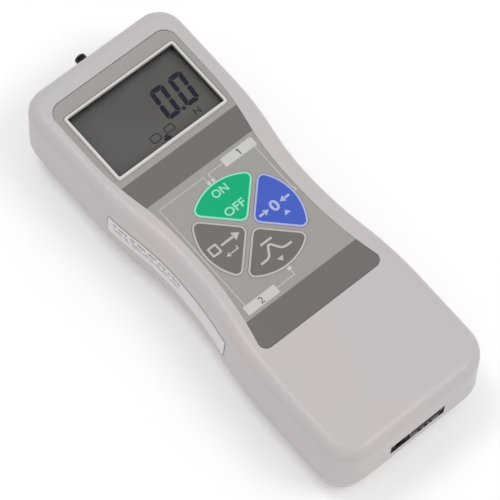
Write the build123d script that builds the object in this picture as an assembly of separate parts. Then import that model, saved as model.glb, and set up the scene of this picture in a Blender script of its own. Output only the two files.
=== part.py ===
from build123d import *
import math
import os

# Handheld digital force gauge, lying on its back. Millimetres.
# +X is across the case, +Y runs to the measuring stem, +Z is out of the front panel.
# The origin is the centre of the four stand-mounting threads, in the plane of the back.

# ---- Driving dimensions ------------------------------------------------------------------------

# Case, in plan at the parting line
case_length = 172.0
display_width = 65.2
waist_draw = 3.2  # how far each side of the waist stands in from the display end
grip_width = 67.0
waist_y = 4.5
waist_stem_bend = 105.0
display_shoulder_bend = 120.0
waist_foot_bend = 160.0
grip_shoulder_bend = 150.0
stem_corner_radius = 12.0
foot_corner_radius = 12.0

# How much each half narrows from the parting line up to the front plane
display_narrowing = 0.6
waist_narrowing = 1.4
grip_narrowing = 0.8
stem_end_narrowing = 1.2
foot_end_narrowing = 0.2
stem_corner_sharpening = 3.0

# Case, in section
case_thickness = 36.0
parting_height = 13.3
wall = 2.2
front_wall = 2.4
rear_draft = 14.0
front_edge_radius = 4.8
rear_edge_radius = 5.0
lip_height = 1.5
lip_thickness = 1.0
lip_clearance = 0.15

# Front panel
recess_depth = 0.6
overlay_thickness = 0.5
overlay_side_gap = 0.05
overlay_end_gap = 0.35
overlay_stem_margin = 9.75
overlay_foot_end_y = -37.55
overlay_stem_half_width = 26.3
overlay_waist_half_width = 21.4
overlay_foot_bend_radius = 140.0
overlay_waist_y = 7.5
overlay_bend_radius = 108.0
overlay_stem_corner_radius = 5.2
overlay_foot_corner_radius = 3.0

# Keys: four quarter sectors of one disc
key_circle_y = 0.65
key_circle_radius = 19.5
key_gap = 1.44
key_apex_radius = 2.9
key_corner_radius = 2.5
key_clearance = 0.1
key_rise = 0.2
key_lip = 0.5
key_lip_thickness = 1.0
key_top_edge = 0.15
key_travel = 0.45
key_post_radius = 2.0
key_post_distance = 12.0
switch_size = 6.0
switch_height = 3.4
plunger_radius = 1.6
plunger_length = 1.7
running_clearance = 0.05

# Display
display_margin = 30.75
bezel_width = 48.0
bezel_height = 30.3
bezel_rim = 1.1
bezel_rise = 0.7
bezel_slope = 0.35
bezel_corner_radius = 1.2
bezel_flange = 1.6
bezel_clearance = 0.15
window_depth = 0.4
window_thickness = 0.8
window_overlap = 0.9
lcd_gap = 0.05
lcd_plate = 1.1
lcd_ledge = 2.2
contact_strip_width = 1.6
contact_strip_margin = 1.0
holder_wall = 1.2
holder_corner_radius = 1.0

# Main board
board_top = 28.0
board_thickness = 1.6
board_edge_gap = 0.6
board_stem_margin = 7.0
board_foot_end_y = -30.4
board_boss_radius = 2.6
board_screw_radius = 1.25
board_screw_length = 6.0
board_stem_screw_margin = 10.0
board_middle_screw_x = 24.3
board_middle_screw_drop = 22.0
board_foot_screw_x = 21.5
board_foot_screw_y = -24.5
chip_size = 10.0
chip_height = 1.4
chip_y = -18.0

# Case screws
case_screw_x = 21.8
case_screw_margin = 10.2
case_screw_radius = 1.5
case_screw_length = 16.0
case_post_radius = 3.0
counterbore_radius = 2.9
counterbore_depth = 3.0
thread_clearance = 0.05
screw_end_room = 0.5
hole_clearance = 0.2

# Load frame and stand threads
stand_spacing_x = 30.0
stand_spacing_y = 50.0
stand_thread_radius = 1.65
stand_bush_radius = 3.25
stand_bush_flange_width = 8.0
stand_bush_flange_height = 1.5
frame_width = 40.0
frame_foot_margin = 4.7
frame_stem_margin = 14.0
frame_corner_radius = 3.0
frame_window_width = 20.0
frame_window_length = 28.0
frame_window_offset = 2.0
frame_thickness = 3.0
frame_standoff = 2.8
frame_pad_radius = 4.0
frame_screw_radius = 1.5
frame_screw_length = 7.0
frame_screw_inset = 6.0

# Measuring stem and load cell
stem_height = 20.6
stem_radius = 2.05
stem_shaft_radius = 2.6
stem_shoulder = 0.7
stem_protrusion = 5.6
stem_chamfer = 0.5
stem_travel = 0.3
stop_gap = 0.05
stem_collar_radius = 4.0
stem_collar_length = 2.0
cell_margin = 16.0
cell_length = 40.0
cell_width = 30.0
cell_thickness = 8.0
cell_end_length = 10.0
cell_slot = 1.5
cell_neck = 5.0
cell_flexure = 1.6
cell_cavity_length = 22.0
cell_cavity_radius = 3.0
cell_stem_depth = 9.0
gauge_length = 4.0
gauge_thickness = 0.15
nut_width = 8.0
nut_thickness = 3.2
bush_bore_clearance = 0.1
bush_wall = 1.2
bush_length = 4.9
bush_flange_radius = 5.2
bush_flange_thickness = 1.5
bracket_width = 20.0
bracket_wall = 6.0
bracket_foot_length = 18.0
bracket_foot_thickness = 3.0
bracket_gusset = 2.0
bracket_screw_x = 4.5
bracket_screw_length = 5.5
cell_bolt_radius = 2.0
cell_bolt_length = 13.0

# Battery pack: four cells lying across the case, two over two
cell_radius = 7.1
cell_can_length = 50.0
cell_spacing = 14.6
cell_button_radius = 2.7
cell_button_height = 1.0
battery_margin = 0.6
holder_floor = 1.2
holder_side = 1.2
holder_height = 9.0

# Connectors at the foot end
port_width = 23.4
port_bottom = 17.2
port_height = 5.8
port_corner_radius = 0.6
connector_board_width = 36.0
connector_board_depth = 12.6
connector_board_thickness = 1.6
connector_wall_gap = 0.5
connector_setback = 0.6
connector_clearance = 0.3
socket_width = 14.2
socket_depth = 13.0
socket_corner_radius = 0.5
socket_wall = 0.5
socket_cavity_depth = 10.0
tongue_height = 1.4
tongue_lift = 1.4
tongue_length = 2.4
contact_count = 5
contact_pitch = 2.0
contact_width = 0.8
contact_thickness = 0.25
jack_gap = 0.6
jack_bore_radius = 2.0
jack_pin_radius = 0.7
jack_pin_setback = 1.5
connector_screw_x = 14.6
connector_screw_radius = 1.25
connector_screw_length = 6.0

# Side label
label_thickness = 0.15
label_height = 9.8
label_bottom = 17.0
label_foot_end_y = -24.2
label_stem_end_y = 36.2

# ---- Heights and places worked out from the driving dimensions ---------------------------------

inner_front = case_thickness - front_wall
overlay_seat = case_thickness - recess_depth
overlay_top = overlay_seat + overlay_thickness
key_top = overlay_top + key_rise
key_lip_top = inner_front - key_clearance
key_lip_bottom = key_lip_top - key_lip_thickness
switch_top = board_top + switch_height
plunger_top = switch_top + key_travel + stop_gap
board_bottom = board_top - board_thickness
bezel_top = overlay_top + bezel_rise
window_top = inner_front - window_depth
window_bottom = window_top - window_thickness
lcd_top = window_bottom - lcd_gap
lcd_ledge_z = lcd_top - lcd_plate
lcd_bottom = lcd_ledge_z - lcd_plate
view_width = bezel_width - 2 * bezel_rim
view_height = bezel_height - 2 * bezel_rim
window_width = view_width + 2 * window_overlap
window_height = view_height + 2 * window_overlap
bezel_flange_bottom = lcd_top
frame_bottom = wall + frame_standoff
frame_top = frame_bottom + frame_thickness
stem_end_y = case_length / 2
foot_end_y = -case_length / 2
waist_width = display_width - 2 * waist_draw
display_y = stem_end_y - display_margin
overlay_stem_end_y = stem_end_y - overlay_stem_margin
board_stem_end_y = stem_end_y - board_stem_margin
cell_front_y = stem_end_y - cell_margin
cell_rear_y = cell_front_y - cell_length
bracket_back_y = cell_rear_y - bracket_wall
bracket_foot_y = bracket_back_y - bracket_foot_length
frame_foot_end_y = -stand_spacing_y / 2 - frame_foot_margin
frame_stem_end_y = stem_end_y - frame_stem_margin
port_top = port_bottom + port_height
connector_face_y = foot_end_y + connector_setback
connector_board_top = port_bottom + connector_clearance
connector_board_start_y = foot_end_y + wall + connector_wall_gap
battery_start_y = connector_board_start_y + connector_board_depth + battery_margin
jack_width = port_width - 2 * connector_clearance - socket_width - jack_gap
battery_centre_y = battery_start_y + holder_side + cell_radius + cell_spacing / 2


# ---- Small helpers -----------------------------------------------------------------------------

def block(x, y, z):
    """A box between pairs of limits along each axis."""
    size = [limits[1] - limits[0] for limits in (x, y, z)]
    return Pos(x[0], y[0], z[0]) * Box(*size, align=(Align.MIN, Align.MIN, Align.MIN))


def post(x, y, bottom, top, radius):
    """A round post or hole standing along Z."""
    return Pos(x, y, bottom) * Cylinder(radius, top - bottom, align=(Align.CENTER, Align.CENTER, Align.MIN))


def rod(x, z, start_y, end_y, radius):
    """A round bar or bore lying along Y."""
    bar = Cylinder(radius, end_y - start_y, align=(Align.CENTER, Align.CENTER, Align.MIN))
    return Pos(x, start_y, z) * Rot(-90, 0, 0) * bar


def slab(face, bottom, top):
    """A plate of one outline between two heights."""
    return extrude(Pos(0, 0, bottom) * face, amount=top - bottom)


def joined(solids):
    """One compound of separate or touching solids."""
    return Compound(children=[solid for item in solids for solid in item.solids()])


def plain_screw(radius, length):
    """A screw: bearing face at z = 0, shank along +Z, head below."""
    return post(0, 0, -1.3 * radius, 0, 1.8 * radius) + post(0, 0, 0, length, radius)


def cross_screw(radius, length):
    """The same with a chamfered head and a cross recess, for the screws that show."""
    depth, arm, edge = 0.8 * radius, radius, 0.18 * radius
    screw = plain_screw(radius, length)
    bottom = screw.bounding_box().min.Z
    screw = chamfer(screw.edges().group_by(Axis.Z)[0], depth / 2)
    for across, along in ((arm, edge), (edge, arm)):
        screw -= block((-across, across), (-along, along), (bottom - 1, bottom + depth))
    return screw


# ---- Case ---------------------------------------------------------------------------------------

def s_curve(wide_x, waist_x, start_y, waist_bend, shoulder_bend, side):
    """Where the two bends of a widening side meet, and the y at which the side is straight again."""
    reach = waist_bend + shoulder_bend
    across = reach - (wide_x - waist_x)
    along = side * math.sqrt(reach ** 2 - across ** 2)
    share = waist_bend / reach
    return (waist_x + waist_bend - across * share, start_y + along * share), start_y + along


def rise(height):
    """Share of the way from the parting line up to the front plane."""
    return (height - parting_height) / (case_thickness - parting_height)


def case_outline(inset=0.0, height=parting_height):
    """Plan of the case at one height, moved inwards by the inset."""
    up = rise(height)
    display_x = display_width / 2 - display_narrowing * up - inset
    waist_x = waist_width / 2 - waist_narrowing * up - inset
    grip_x = grip_width / 2 - grip_narrowing * up - inset
    stem_y = stem_end_y - stem_end_narrowing * up - inset
    foot_y = foot_end_y + foot_end_narrowing * up + inset
    stem_corner = stem_corner_radius - stem_corner_sharpening * up - inset
    foot_corner = foot_corner_radius - inset
    upper_bends = (waist_stem_bend + inset, display_shoulder_bend - inset)
    lower_bends = (waist_foot_bend + inset, grip_shoulder_bend - inset)
    upper, shoulder_y = s_curve(display_x, waist_x, waist_y, *upper_bends, 1)
    lower, grip_y = s_curve(grip_x, waist_x, waist_y, *lower_bends, -1)
    side = [
        TangentArc((display_x - stem_corner, stem_y), (display_x, stem_y - stem_corner), tangent=(1, 0)),
        Line((display_x, stem_y - stem_corner), (display_x, shoulder_y)),
        TangentArc((display_x, shoulder_y), upper, tangent=(0, -1)),
        TangentArc((waist_x, waist_y), upper, tangent=(0, 1)),
        TangentArc((waist_x, waist_y), lower, tangent=(0, -1)),
        TangentArc((grip_x, grip_y), lower, tangent=(0, 1)),
        Line((grip_x, grip_y), (grip_x, foot_y + foot_corner)),
        TangentArc((grip_x, foot_y + foot_corner), (grip_x - foot_corner, foot_y), tangent=(0, -1)),
    ]
    ends = [
        Line((stem_corner - display_x, stem_y), (display_x - stem_corner, stem_y)),
        Line((foot_corner - grip_x, foot_y), (grip_x - foot_corner, foot_y)),
    ]
    return make_face(ends + side + [mirror(edge, Plane.YZ) for edge in side])


def front_block(inset, top):
    """The drafted block that the front case, or with an inset its hollow, is made from."""
    plans = [Pos(0, 0, height) * case_outline(inset, height) for height in (parting_height, top)]
    return loft(plans, ruled=True)


def rear_block(inset, bottom):
    """The same for the rear case, which narrows evenly down to the back."""
    narrowed = inset + (parting_height - bottom) * math.tan(math.radians(rear_draft))
    plans = [Pos(0, 0, bottom) * case_outline(narrowed), Pos(0, 0, parting_height) * case_outline(inset)]
    return loft(plans, ruled=True)


def lip_ring(outer_inset, inner_inset, height):
    """A ring on the parting line, between two insets of the plan."""
    ring = case_outline(outer_inset) - case_outline(inner_inset)
    return slab(ring, parting_height, parting_height + height)


def case_screw_places():
    reach_y = case_length / 2 - case_screw_margin
    return [(x, y) for x in (case_screw_x, -case_screw_x) for y in (reach_y, -reach_y)]


def board_screw_places():
    middle_y = display_y - board_middle_screw_drop
    return [
        (0, stem_end_y - board_stem_screw_margin),
        (board_middle_screw_x, middle_y), (-board_middle_screw_x, middle_y),
        (board_foot_screw_x, board_foot_screw_y), (-board_foot_screw_x, board_foot_screw_y),
    ]


def port_box(start_y, end_y, grow=0.0):
    """The connector port, along Y."""
    outline = RectangleRounded(port_width + 2 * grow, port_height + 2 * grow, port_corner_radius + grow)
    centre = Pos(0, start_y, port_bottom + port_height / 2) * Rot(90, 0, 0)
    return extrude(centre * outline, amount=start_y - end_y)


def front_case():
    outside = front_block(0, case_thickness)
    outside = fillet(outside.faces().sort_by(Axis.Z)[-1].edges(), front_edge_radius)
    inside = front_block(wall, inner_front)
    shell = outside - inside
    # posts for the case screws and bosses for the board
    for x, y in case_screw_places():
        shell += post(x, y, parting_height + lip_height, inner_front, case_post_radius) & inside
    for x, y in board_screw_places():
        shell += post(x, y, board_top, inner_front, board_boss_radius) & inside
    case_screw_end = counterbore_depth + case_screw_length + screw_end_room
    for x, y in case_screw_places():
        shell -= post(x, y, 0, case_screw_end, case_screw_radius + thread_clearance)
    board_screw_end = board_bottom + board_screw_length + screw_end_room
    for x, y in board_screw_places():
        shell -= post(x, y, 0, board_screw_end, board_screw_radius + thread_clearance)
    # rebate for the lip of the rear case
    rebate = lip_thickness + lip_clearance
    shell -= lip_ring(wall - rebate, wall + 1, lip_height + lip_clearance)
    # front panel: recess, display opening, four key openings
    shell -= slab(overlay_outline(), overlay_seat, case_thickness + 1)
    shell -= display_prism(2 * bezel_clearance, inner_front - 1, case_thickness + 1)
    for turn in (0, 90, 180, 270):
        shell -= slab(key_outline(turn, key_clearance), inner_front - 1, case_thickness + 1)
    # stem hole and connector port
    bush_radius = stem_shaft_radius + bush_wall + hole_clearance
    shell -= rod(0, stem_height, bush_start_y() - 1, stem_end_y + 1, bush_radius)
    shell -= port_box(foot_end_y + 6, foot_end_y - 1)
    return shell


def rear_case():
    floor = wall
    outside = rear_block(0, 0)
    outside = fillet(outside.faces().sort_by(Axis.Z)[0].edges(), rear_edge_radius)
    shell = outside - rear_block(wall, floor)
    shell += lip_ring(wall - lip_thickness, wall, lip_height)
    for x, y in case_screw_places():
        shell += post(x, y, floor / 2, parting_height + lip_height, case_post_radius)
    for x, y in frame_screw_places():
        shell += post(x, y, floor / 2, frame_bottom, frame_pad_radius)
    for x, y in stand_places():
        shell += post(x, y, floor / 2, frame_bottom, stand_bush_radius + wall)
    for x in (connector_screw_x, -connector_screw_x):
        y = connector_board_y()
        shell += post(x, y, floor / 2, connector_board_bottom(), connector_screw_radius + wall)
        shell -= post(x, y, floor, connector_board_bottom() + 1, connector_screw_radius + thread_clearance)
    for x, y in case_screw_places():
        shell -= post(x, y, -1, counterbore_depth, counterbore_radius)
        shell -= post(x, y, 0, parting_height + lip_height + 1, case_screw_radius + hole_clearance)
    for x, y in frame_screw_places():
        hole_bottom = frame_top - frame_screw_length - hole_clearance
        shell -= post(x, y, hole_bottom, frame_bottom + 1, frame_screw_radius + thread_clearance)
    for x, y in stand_places():
        shell -= post(x, y, -1, frame_bottom + 1, stand_bush_radius + hole_clearance)
    return shell


def case_screws():
    screw = cross_screw(case_screw_radius, case_screw_length)
    return joined([Pos(x, y, counterbore_depth) * screw for x, y in case_screw_places()])


def side_label():
    """A sticker on the left wall that follows the waist."""
    skin = front_block(-label_thickness, case_thickness) - front_block(0, case_thickness)
    band = block((-display_width, -waist_width / 4), (label_foot_end_y, label_stem_end_y),
                 (label_bottom, label_bottom + label_height))
    return skin & band


# ---- Front panel --------------------------------------------------------------------------------

def overlay_outline(side_gap=0.0, end_gap=0.0):
    """Waisted plan of the overlay's recess, or of the overlay where the gaps are given."""
    stem_x = overlay_stem_half_width - side_gap
    waist_x = overlay_waist_half_width - side_gap
    stem_y = overlay_stem_end_y - end_gap
    foot_y = overlay_foot_end_y + end_gap
    foot_bend = overlay_foot_bend_radius + side_gap
    foot_x = waist_x + foot_bend - math.sqrt(foot_bend ** 2 - (key_circle_y - foot_y) ** 2)
    bends = (overlay_bend_radius + side_gap, overlay_bend_radius - side_gap)
    meeting, straight_y = s_curve(stem_x, waist_x, overlay_waist_y, *bends, 1)
    side = [
        Line((stem_x, stem_y), (stem_x, straight_y)),
        TangentArc((stem_x, straight_y), meeting, tangent=(0, -1)),
        TangentArc((waist_x, overlay_waist_y), meeting, tangent=(0, 1)),
        Line((waist_x, overlay_waist_y), (waist_x, key_circle_y)),
        TangentArc((waist_x, key_circle_y), (foot_x, foot_y), tangent=(0, -1)),
    ]
    ends = [Line((-stem_x, stem_y), (stem_x, stem_y)), Line((-foot_x, foot_y), (foot_x, foot_y))]
    face = make_face(ends + side + [mirror(edge, Plane.YZ) for edge in side])
    face = fillet(face.vertices().group_by(Axis.Y)[-1], overlay_stem_corner_radius)
    return fillet(face.vertices().group_by(Axis.Y)[0], overlay_foot_corner_radius)


def panel_overlay():
    sheet = slab(overlay_outline(overlay_side_gap, overlay_end_gap), overlay_seat, overlay_top)
    sheet -= display_prism(2 * bezel_clearance, overlay_seat - 1, overlay_top + 1)
    for turn in (0, 90, 180, 270):
        sheet -= slab(key_outline(turn, key_clearance), overlay_seat - 1, overlay_top + 1)
    return sheet


# ---- Keys ---------------------------------------------------------------------------------------

def key_outline(turn, grow=0.0):
    """A quarter sector with round corners, turned about the centre of the key disc."""
    apex_y = (key_gap / 2 - grow) * math.sqrt(2)
    reach = key_circle_radius + grow
    wedge = make_face(Polyline((0, apex_y), (reach, apex_y + reach), (-reach, apex_y + reach), close=True))
    sector = Circle(reach) & wedge
    apex = sector.vertices().group_by(Axis.Y)[0]
    sector = fillet(apex, key_apex_radius + grow)
    corners = [v for v in sector.vertices() if v.center().length > 0.9 * reach]
    sector = fillet(corners, key_corner_radius + grow)
    return Pos(0, key_circle_y, 0) * Rot(0, 0, turn) * sector


def key_post_place(turn):
    angle = math.radians(turn + 90)
    return key_post_distance * math.cos(angle), key_circle_y + key_post_distance * math.sin(angle)


def key(turn):
    """Cap through the panel, retaining lip below it, and the post that presses the switch."""
    cap = slab(key_outline(turn), key_lip_bottom, key_top)
    cap = chamfer(cap.edges().group_by(Axis.Z)[-1], key_top_edge)
    lip = slab(key_outline(turn, key_lip), key_lip_bottom, key_lip_top)
    x, y = key_post_place(turn)
    return cap + lip + post(x, y, plunger_top, key_lip_bottom, key_post_radius)


def switch_plunger(turn):
    x, y = key_post_place(turn)
    return post(x, y, plunger_top - plunger_length, plunger_top, plunger_radius)


def key_switches():
    """Four tactile switches, each with the well that its plunger runs in."""
    bodies = []
    for turn in (0, 90, 180, 270):
        x, y = key_post_place(turn)
        half = switch_size / 2
        body = block((x - half, x + half), (y - half, y + half), (board_top, switch_top))
        well_bottom = plunger_top - plunger_length - key_travel - stop_gap
        body -= post(x, y, well_bottom, switch_top + 1, plunger_radius + running_clearance)
        bodies.append(body)
    return joined(bodies)


# ---- Display ------------------------------------------------------------------------------------

def display_prism(grow, bottom, top):
    """The bezel's outline, grown by the same amount in both directions."""
    outline = RectangleRounded(bezel_width + grow, bezel_height + grow, bezel_corner_radius + grow / 2)
    return slab(Pos(0, display_y) * outline, bottom, top)


def display_bezel():
    rim = display_prism(0, bezel_flange_bottom, overlay_top)
    outline = Pos(0, display_y, overlay_top) * RectangleRounded(bezel_width, bezel_height, bezel_corner_radius)
    slope = math.degrees(math.atan(bezel_slope / bezel_rise))
    rim += extrude(outline, amount=bezel_rise, taper=slope)
    rim += display_prism(2 * bezel_flange, bezel_flange_bottom, inner_front)
    view = RectangleRounded(view_width, view_height, bezel_corner_radius / 2)
    rim -= slab(Pos(0, display_y) * view, bezel_flange_bottom - 1, bezel_top + 1)
    seat = 2 * bezel_clearance
    rim -= slab(Pos(0, display_y) * Rectangle(window_width + seat, window_height + seat),
                bezel_flange_bottom - 1, window_top)
    return rim


def display_window():
    return slab(Pos(0, display_y) * Rectangle(window_width, window_height), window_bottom, window_top)


def lcd_glass():
    """Two glass plates: the front one overhangs at both long edges for the contact strips."""
    front_plate = Pos(0, display_y) * Rectangle(window_width, window_height)
    back_plate = Pos(0, display_y) * Rectangle(window_width, window_height - 2 * lcd_ledge)
    return slab(front_plate, lcd_ledge_z, lcd_top) + slab(back_plate, lcd_bottom, lcd_ledge_z)


def contact_strip_places():
    offset = window_height / 2 - lcd_ledge / 2
    return [display_y + offset, display_y - offset]


def lcd_contact_strips():
    half = contact_strip_width / 2
    reach = window_width / 2 - contact_strip_margin
    return joined([block((-reach, reach), (y - half, y + half), (board_top, lcd_ledge_z))
                   for y in contact_strip_places()])


def lcd_holder():
    """Moulded tray between the bezel and the board, with slots for the contact strips."""
    seat = 2 * bezel_clearance
    margin = seat + 2 * holder_wall
    outline = RectangleRounded(window_width + margin, window_height + margin, holder_corner_radius)
    tray = slab(Pos(0, display_y) * outline, board_top, bezel_flange_bottom)
    tray -= slab(Pos(0, display_y) * Rectangle(window_width + seat, window_height + seat),
                 lcd_ledge_z, bezel_flange_bottom + 1)
    tray -= slab(Pos(0, display_y) * Rectangle(window_width + seat, window_height - 2 * lcd_ledge + seat),
                 lcd_bottom, bezel_flange_bottom + 1)
    opening = Rectangle(window_width - 4, window_height - 2 * lcd_ledge - 4)
    tray -= slab(Pos(0, display_y) * opening, board_top - 1, lcd_bottom + 1)
    half = contact_strip_width / 2 + bezel_clearance
    reach = window_width / 2 - contact_strip_margin + bezel_clearance
    for y in contact_strip_places():
        tray -= block((-reach, reach), (y - half, y + half), (board_top - 1, lcd_ledge_z + 1))
    return tray


# ---- Electronics --------------------------------------------------------------------------------

def main_board():
    board = slab(case_outline(wall + board_edge_gap, board_top), board_bottom, board_top)
    board &= block((-grip_width, grip_width), (board_foot_end_y, board_stem_end_y), (0, case_thickness))
    notch = case_post_radius + board_edge_gap
    for x, y in case_screw_places()[::2]:
        board -= post(x, y, board_bottom - 1, board_top + 1, notch)
        board -= block((x - notch, x + notch), (y, stem_end_y), (board_bottom - 1, board_top + 1))
    for x, y in board_screw_places():
        board -= post(x, y, board_bottom - 1, board_top + 1, board_screw_radius + hole_clearance)
    return board


def processor_chip():
    half = chip_size / 2
    body = block((-half, half), (chip_y - half, chip_y + half), (board_bottom - chip_height, board_bottom))
    return chamfer(body.edges().group_by(Axis.Z)[0], chip_height / 4)


def board_screws():
    screw = plain_screw(board_screw_radius, board_screw_length)
    return joined([Pos(x, y, board_bottom) * screw for x, y in board_screw_places()])


# ---- Load frame, load cell and stem -------------------------------------------------------------

def stand_places():
    return [(x, y) for x in (-stand_spacing_x / 2, stand_spacing_x / 2)
            for y in (-stand_spacing_y / 2, stand_spacing_y / 2)]


def frame_screw_places():
    corner_x = frame_width / 2 - frame_screw_inset
    corner_y = frame_stem_end_y - frame_screw_inset
    middle = [(0, -stand_spacing_y / 2), (0, bracket_foot_y - frame_screw_inset)]
    return middle + [(corner_x, corner_y), (-corner_x, corner_y)]


def bracket_screw_places():
    y = bracket_back_y - bracket_foot_length / 2
    return [(x, y) for x in (bracket_screw_x, -bracket_screw_x)]


def load_frame():
    """The plate that ties the stand threads to the load cell's bracket, with a window under the cell."""
    length = frame_stem_end_y - frame_foot_end_y
    outline = RectangleRounded(frame_width, length, frame_corner_radius)
    middle_y = (frame_stem_end_y + frame_foot_end_y) / 2
    plate = slab(Pos(0, middle_y) * outline, frame_bottom, frame_top)
    window = RectangleRounded(frame_window_width, frame_window_length, frame_corner_radius)
    window_y = cell_middle_y() + frame_window_offset
    plate -= slab(Pos(0, window_y) * window, frame_bottom - 1, frame_top + 1)
    for x, y in stand_places():
        plate -= post(x, y, frame_bottom - 1, frame_top + 1, stand_bush_radius + thread_clearance)
    for x, y in frame_screw_places():
        plate -= post(x, y, frame_bottom - 1, frame_top + 1, frame_screw_radius + hole_clearance)
    for x, y in bracket_screw_places():
        plate -= post(x, y, frame_bottom - 1, frame_top + 1, frame_screw_radius + thread_clearance)
    return plate


def frame_screws():
    screw = Rot(180, 0, 0) * plain_screw(frame_screw_radius, frame_screw_length)
    return joined([Pos(x, y, frame_top) * screw for x, y in frame_screw_places()])


def stand_bushes():
    """Threaded bushes with hexagon heads, which carry the stand screws' load into the frame."""
    bushes = []
    for x, y in stand_places():
        bush = post(x, y, 0, frame_top, stand_bush_radius)
        head = Pos(x, y) * RegularPolygon(stand_bush_flange_width / 2, 6, major_radius=False)
        bush += slab(head, frame_top, frame_top + stand_bush_flange_height)
        bush -= post(x, y, -1, case_thickness, stand_thread_radius)
        bushes.append(bush)
    return joined(bushes)


def cell_bracket():
    """An angle with two gussets, which holds the fixed end of the load cell."""
    half = bracket_width / 2
    foot_top = frame_top + bracket_foot_thickness
    top = stem_height + cell_thickness / 2
    angle = block((-half, half), (bracket_foot_y, cell_rear_y), (frame_top, foot_top))
    angle += block((-half, half), (bracket_back_y, cell_rear_y), (frame_top, top))
    gusset_foot = (bracket_foot_y + bracket_gusset, foot_top)
    gusset_top = (bracket_back_y, top - bracket_gusset)
    gusset = make_face(Polyline((bracket_back_y, foot_top), gusset_top, gusset_foot, close=True))
    for x in (-half, half - bracket_gusset):
        side = Plane((x, 0, 0), x_dir=(0, 1, 0), z_dir=(1, 0, 0))
        angle += extrude(side * gusset, amount=bracket_gusset)
    for x, y in bracket_screw_places():
        angle -= post(x, y, frame_top - 1, foot_top + 1, frame_screw_radius + hole_clearance)
    angle -= rod(0, stem_height, bracket_back_y - 1, cell_rear_y + 1, cell_bolt_radius + hole_clearance)
    return angle


def bracket_screws():
    screw = Rot(180, 0, 0) * plain_screw(frame_screw_radius, bracket_screw_length)
    top = frame_top + bracket_foot_thickness
    return joined([Pos(x, y, top) * screw for x, y in bracket_screw_places()])


def cell_bolt():
    """Socket-head screw along the measuring axis."""
    head_y = bracket_back_y - 2 * cell_bolt_radius
    head = rod(0, stem_height, head_y, bracket_back_y, 1.75 * cell_bolt_radius)
    bolt = head + rod(0, stem_height, bracket_back_y, bracket_back_y + cell_bolt_length, cell_bolt_radius)
    socket = Plane((0, head_y, stem_height), x_dir=(1, 0, 0), z_dir=(0, 1, 0))
    return bolt - extrude(socket * RegularPolygon(cell_bolt_radius * 0.85, 6), amount=cell_bolt_radius)


def load_cell():
    """S-beam: two end blocks, two opposed slots, and a centre block thinned to two flexures."""
    half = cell_width / 2
    bottom = stem_height - cell_thickness / 2
    beam = block((-half, half), (cell_rear_y, cell_front_y), (bottom, bottom + cell_thickness))
    rear_slot_y = cell_rear_y + cell_end_length
    front_slot_y = cell_front_y - cell_end_length - cell_slot
    through = (0, case_thickness)
    beam -= block((-half - 1, half - cell_neck), (rear_slot_y, rear_slot_y + cell_slot), through)
    beam -= block((-half + cell_neck, half + 1), (front_slot_y, front_slot_y + cell_slot), through)
    cavity = RectangleRounded(cell_cavity_length, cell_cavity_width(), cell_cavity_radius)
    beam -= slab(Pos(0, cell_middle_y()) * cavity, 0, case_thickness)
    bolt_bore = cell_bolt_radius + thread_clearance
    stem_bore = stem_shaft_radius + running_clearance
    beam -= rod(0, stem_height, cell_rear_y - 1, cell_rear_y + cell_end_length - 1, bolt_bore)
    beam -= rod(0, stem_height, cell_front_y - cell_stem_depth, cell_front_y + 1, stem_bore)
    return beam


def cell_middle_y():
    return cell_rear_y + cell_length / 2


def cell_cavity_width():
    return cell_length - 2 * cell_end_length - 2 * cell_slot - 2 * cell_flexure


def strain_gauges():
    """Four foil gauges on the flat walls of the cavity, one behind each flexure's ends."""
    pads = []
    flat = cell_cavity_width() / 2
    for side in (-1, 1):
        wall_y = cell_middle_y() + side * flat
        pad_y = sorted((wall_y, wall_y - side * gauge_thickness))
        for x in (-gauge_length, gauge_length):
            pads.append(block((x - gauge_length / 2 + 0.2, x + gauge_length / 2 - 0.2), pad_y,
                              (stem_height - gauge_length / 2, stem_height + gauge_length / 2)))
    return joined(pads)


def bush_end_y():
    return stem_end_y - stem_end_narrowing * rise(stem_height)


def bush_start_y():
    return bush_end_y() - bush_length


def measuring_stem():
    """A shaft from the load cell through the bush, with a collar that stops it and a thinner free end."""
    start_y = cell_front_y - cell_stem_depth + stem_travel + stop_gap
    free_end = rod(0, stem_height, start_y, stem_end_y + stem_protrusion, stem_radius)
    free_end = chamfer(free_end.edges().group_by(Axis.Y)[-1], stem_chamfer)
    collar_y = bush_start_y() - stem_travel - stop_gap
    shaft = rod(0, stem_height, start_y, bush_end_y() + stem_shoulder, stem_shaft_radius)
    shaft = chamfer(shaft.edges().group_by(Axis.Y)[-1], stem_chamfer)
    collar = rod(0, stem_height, collar_y - stem_collar_length, collar_y, stem_collar_radius)
    return free_end + shaft + collar


def stem_lock_nut():
    start_y = cell_front_y + stem_travel + stop_gap
    plane = Plane((0, start_y, stem_height), x_dir=(1, 0, 0), z_dir=(0, 1, 0))
    nut = extrude(plane * RegularPolygon(nut_width / 2, 6, major_radius=False), amount=nut_thickness)
    bore_radius = stem_shaft_radius + thread_clearance / 2
    return nut - rod(0, stem_height, start_y - 1, start_y + nut_thickness + 1, bore_radius)


def stem_bush():
    start_y = bush_start_y()
    bush = rod(0, stem_height, start_y, start_y + bush_length, stem_shaft_radius + bush_wall)
    bush += rod(0, stem_height, start_y, start_y + bush_flange_thickness, bush_flange_radius)
    bore_radius = stem_shaft_radius + bush_bore_clearance
    return bush - rod(0, stem_height, start_y - 1, start_y + bush_length + 1, bore_radius)


# ---- Battery ------------------------------------------------------------------------------------

def battery_places():
    """Centre line of each cell: y and z."""
    low = wall + holder_floor + cell_radius + thread_clearance
    return [(battery_centre_y + side * cell_spacing / 2, low + row * cell_spacing)
            for row in (0, 1) for side in (-1, 1)]


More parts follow.
